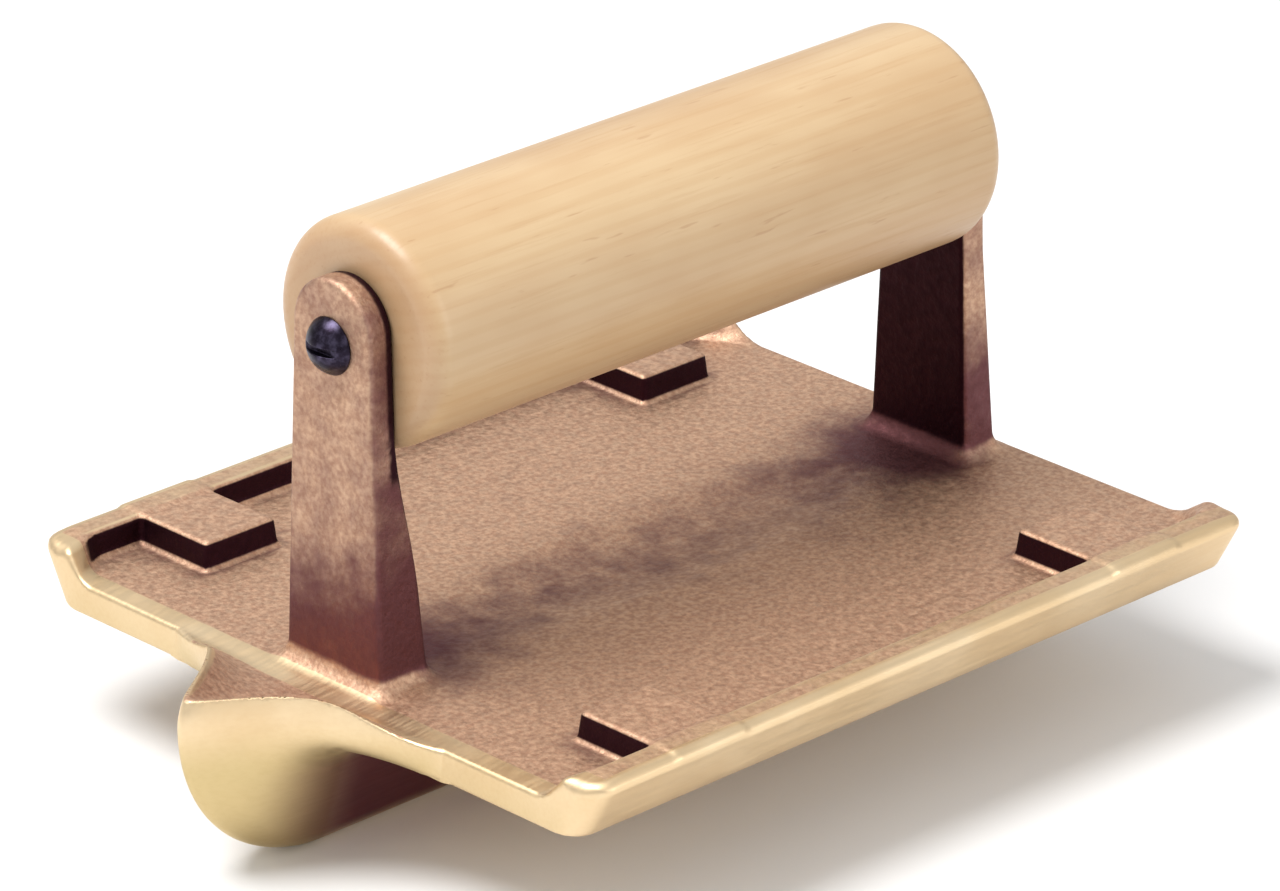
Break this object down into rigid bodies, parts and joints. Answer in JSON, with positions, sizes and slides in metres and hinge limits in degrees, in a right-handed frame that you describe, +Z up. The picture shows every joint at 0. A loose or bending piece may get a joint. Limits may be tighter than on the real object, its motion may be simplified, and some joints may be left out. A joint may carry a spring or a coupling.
{
  "type": "concrete hand groover",
  "caption": "Cast bronze hand groover: flat plate with side lips, a rounded groove bit with an upturned nose, and a wooden handle between two posts.",
  "frame": {"origin": "at the height of the bit's keel, under the middle of the tool's length (nose included) and width", "axes": "+X from the nose to the rear along the bit and the handle, +Y across the plate, +Z up from the sole to the handle"},
  "size_m": [0.1624, 0.1204, 0.0939],
  "materials": {
    "bronze": "as-cast bronze on top, ground and worn satin on the lips, end faces, nose and sole",
    "wood": "turned light hardwood with a thin clear finish",
    "steel": "dark blued steel, smooth"
  },
  "bodies": {
    "root": {"base_casting": "bronze", "handle": "wood", "front_screw": "steel", "rear_screw": "steel"}
  },
  "joints": []
}
